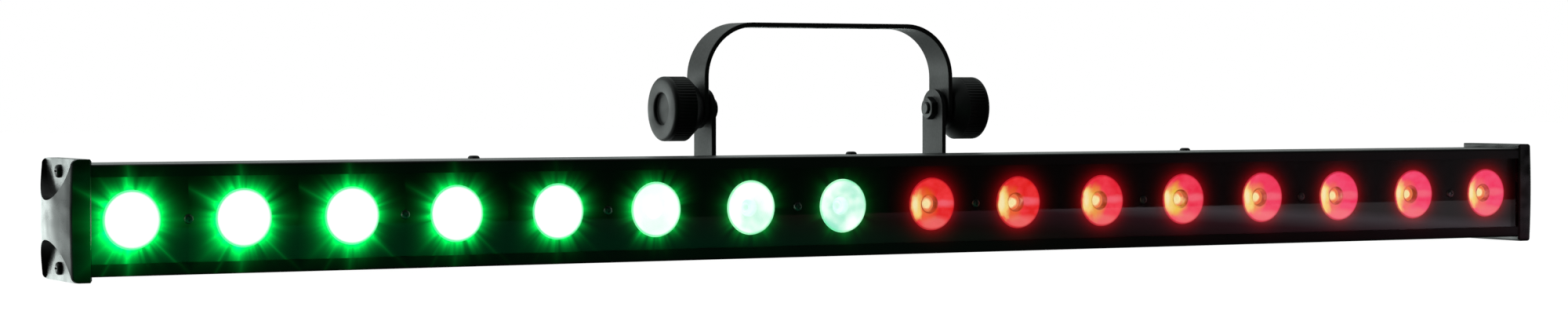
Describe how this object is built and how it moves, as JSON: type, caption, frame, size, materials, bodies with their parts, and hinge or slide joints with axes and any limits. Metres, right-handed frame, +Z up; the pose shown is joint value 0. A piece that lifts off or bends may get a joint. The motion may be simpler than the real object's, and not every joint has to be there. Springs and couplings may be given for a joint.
{
  "type": "led strip batten",
  "caption": "Long black LED strip batten: a row of lit round lenses behind a clear window, moulded end caps and a tilting strap yoke with clamping knobs.",
  "frame": {"origin": "middle of the overall length and depth, on the plane that the end caps stand on", "axes": "+X along the bar, -Y the way the lenses face, +Z up"},
  "size_m": [1.059, 0.111, 0.149],
  "materials": {
    "lens_green": "clear, lit white-green",
    "lens_red": "clear, lit pinkish red",
    "led_green": "lit",
    "led_red": "lit",
    "bar_coating": "extruded aluminium, satin black coat",
    "box_coating": "fine-textured black powder coat",
    "strap_coating": "satin dark grey powder coat",
    "window_clear": "glossy clear",
    "seal_rubber": "matt",
    "black_moulding": "matt black",
    "cap_plastic": "satin, fine moulded texture",
    "knob_plastic": "satin, fine moulded texture",
    "button_plastic": "satin",
    "connector_plastic": "satin",
    "connector_metal": "black die-cast shell",
    "spacer_plastic": "matt",
    "display_window": "dark red window",
    "circuit_board": "white solder mask",
    "power_module": "mixed components",
    "wire_sheath": "matt",
    "bright_screw": "bright zinc",
    "black_screw": "black zinc",
    "nut_steel": "darkened zinc"
  },
  "bodies": {
    "housing": {"housing_extrusion": "bar_coating", "front_window": "window_clear", "window_seal": "seal_rubber", "lens_plate": "black_moulding", "lens_plate_screws": "bright_screw", "lens_01": "lens_green", "lens_02": "lens_green", "lens_03": "lens_green", "lens_04": "lens_green", "lens_05": "lens_green", "lens_06": "lens_green", "lens_07": "lens_green", "lens_08": "lens_green", "lens_09": "lens_red", "lens_10": "lens_red", "lens_11": "lens_red", "lens_12": "lens_red", "lens_13": "lens_red", "lens_14": "lens_red", "lens_15": "lens_red", "lens_16": "lens_red", "led_emitters_left": "led_green", "led_emitters_right": "led_red", "pcb_left": "circuit_board", "pcb_right": "circuit_board", "rear_cover": "bar_coating", "cover_screws": "black_screw", "end_cap_left": "cap_plastic", "end_cap_right": "cap_plastic", "end_cap_screws": "black_screw", "driver_box": "box_coating", "box_mount_screws": "bright_screw", "box_panel": "box_coating", "box_panel_screws": "black_screw", "power_supply": "power_module", "control_board": "circuit_board", "display": "display_window", "power_inlet": "connector_plastic", "dmx_in_socket": "connector_metal", "dmx_out_socket": "connector_metal", "socket_screws": "bright_screw", "wiring": "wire_sheath", "ear_left": "strap_coating", "ear_right": "strap_coating", "ear_screws": "black_screw", "ear_nuts": "bright_screw", "weld_nuts": "nut_steel", "spacers": "spacer_plastic"},
    "yoke": {"yoke": "strap_coating"},
    "washer_left": {"washer_left": "nut_steel"},
    "washer_right": {"washer_right": "nut_steel"},
    "knob_left": {"knob_left": "knob_plastic", "stud_left": "nut_steel"},
    "knob_right": {"knob_right": "knob_plastic", "stud_right": "nut_steel"},
    "menu_button_1": {"menu_button_1": "button_plastic"},
    "menu_button_2": {"menu_button_2": "button_plastic"},
    "menu_button_3": {"menu_button_3": "button_plastic"},
    "menu_button_4": {"menu_button_4": "button_plastic"},
    "output_latch": {"dmx_out_latch": "connector_plastic"}
  },
  "joints": [
    {"name": "yoke_tilt", "type": "hinge", "parent": "housing", "child": "yoke", "pos_m": [0, 0.035, 0.094], "axis": [1, 0, 0], "range_deg": [-135, 105]},
    {"name": "washer_left_slide", "type": "slide", "parent": "housing", "child": "washer_left", "axis": [-1, 0, 0], "range_m": [0, 0.0025]},
    {"name": "knob_left_turn", "type": "hinge", "parent": "washer_left", "child": "knob_left", "pos_m": [-0.1, 0.035, 0.094], "axis": [-1, 0, 0], "range_deg": [0, 720]},
    {"name": "washer_right_slide", "type": "slide", "parent": "housing", "child": "washer_right", "axis": [1, 0, 0], "range_m": [0, 0.0025]},
    {"name": "knob_right_turn", "type": "hinge", "parent": "washer_right", "child": "knob_right", "pos_m": [0.1, 0.035, 0.094], "axis": [1, 0, 0], "range_deg": [0, 720]},
    {"name": "menu_button_1_press", "type": "slide", "parent": "housing", "child": "menu_button_1", "axis": [0, -1, 0], "range_m": [0, 0.001], "stiffness_N_per_m": 400, "springref_m": -0.0005},
    {"name": "menu_button_2_press", "type": "slide", "parent": "housing", "child": "menu_button_2", "axis": [0, -1, 0], "range_m": [0, 0.001], "stiffness_N_per_m": 400, "springref_m": -0.0005},
    {"name": "menu_button_3_press", "type": "slide", "parent": "housing", "child": "menu_button_3", "axis": [0, -1, 0], "range_m": [0, 0.001], "stiffness_N_per_m": 400, "springref_m": -0.0005},
    {"name": "menu_button_4_press", "type": "slide", "parent": "housing", "child": "menu_button_4", "axis": [0, -1, 0], "range_m": [0, 0.001], "stiffness_N_per_m": 400, "springref_m": -0.0005},
    {"name": "output_latch_press", "type": "slide", "parent": "housing", "child": "output_latch", "axis": [0, -1, 0], "range_m": [0, 0.0015], "stiffness_N_per_m": 500, "springref_m": -0.0005}
  ],
  "couplings": [
    {"joint": "knob_left_turn", "follows": "washer_left_slide", "rad_per_m": 5026.5},
    {"joint": "knob_right_turn", "follows": "washer_right_slide", "rad_per_m": 5026.5}
  ]
}
